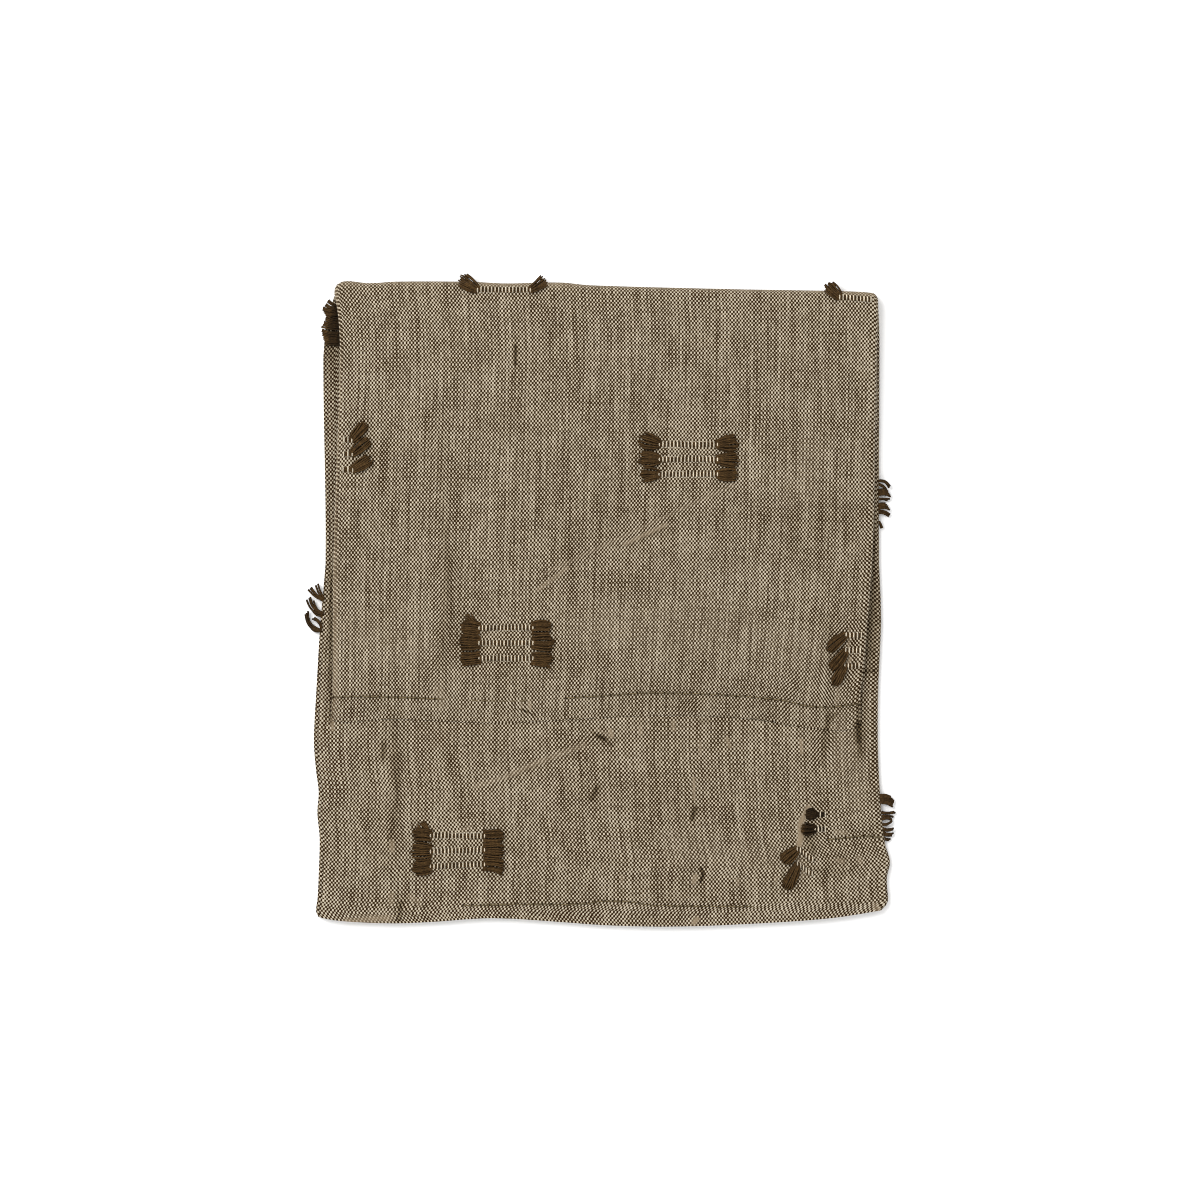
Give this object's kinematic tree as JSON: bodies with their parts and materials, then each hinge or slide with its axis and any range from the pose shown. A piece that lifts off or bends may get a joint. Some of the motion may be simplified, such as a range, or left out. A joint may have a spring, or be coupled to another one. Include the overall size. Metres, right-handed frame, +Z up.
{
  "type": "folded tea towel",
  "caption": "Woven cotton tea towel folded in three and once over, with inlaid bars and cut yarn tufts; it lies flat, face up.",
  "frame": {"origin": "middle of the folded towel's outline, on the surface that it lies on", "axes": "+Z up out of the face, +Y from the loose hems to the top fold, +X to the right as the face is seen"},
  "size_m": [0.2566, 0.2854, 0.01],
  "materials": {
    "cloth": "matt plain weave, cream warp and dark brown weft",
    "inlay_yarn": "matt dark olive-brown cotton yarn"
  },
  "bodies": {
    "root": {"towel_cloth": "cloth", "inlay_upper_a": "inlay_yarn", "inlay_upper_b": "inlay_yarn", "inlay_upper_c": "inlay_yarn", "inlay_middle_a": "inlay_yarn", "inlay_middle_b": "inlay_yarn", "inlay_middle_c": "inlay_yarn", "inlay_lower_a": "inlay_yarn", "inlay_lower_b": "inlay_yarn", "inlay_lower_c": "inlay_yarn", "inlay_left_a": "inlay_yarn", "inlay_left_b": "inlay_yarn", "inlay_left_c": "inlay_yarn", "inlay_right_a": "inlay_yarn", "inlay_right_b": "inlay_yarn", "inlay_right_c": "inlay_yarn", "inlay_corner_a": "inlay_yarn", "inlay_corner_b": "inlay_yarn", "inlay_corner_c": "inlay_yarn", "inlay_corner_d": "inlay_yarn", "inlay_top_middle": "inlay_yarn", "inlay_top_right": "inlay_yarn", "inlay_side_upper_left_a": "inlay_yarn", "inlay_side_upper_left_b": "inlay_yarn", "inlay_side_upper_left_c": "inlay_yarn", "inlay_side_left_a": "inlay_yarn", "inlay_side_left_b": "inlay_yarn", "inlay_side_left_c": "inlay_yarn", "inlay_side_upper_right_a": "inlay_yarn", "inlay_side_upper_right_b": "inlay_yarn", "inlay_side_upper_right_c": "inlay_yarn", "inlay_side_lower_right_a": "inlay_yarn", "inlay_side_lower_right_b": "inlay_yarn", "inlay_side_lower_right_c": "inlay_yarn"}
  },
  "joints": []
}
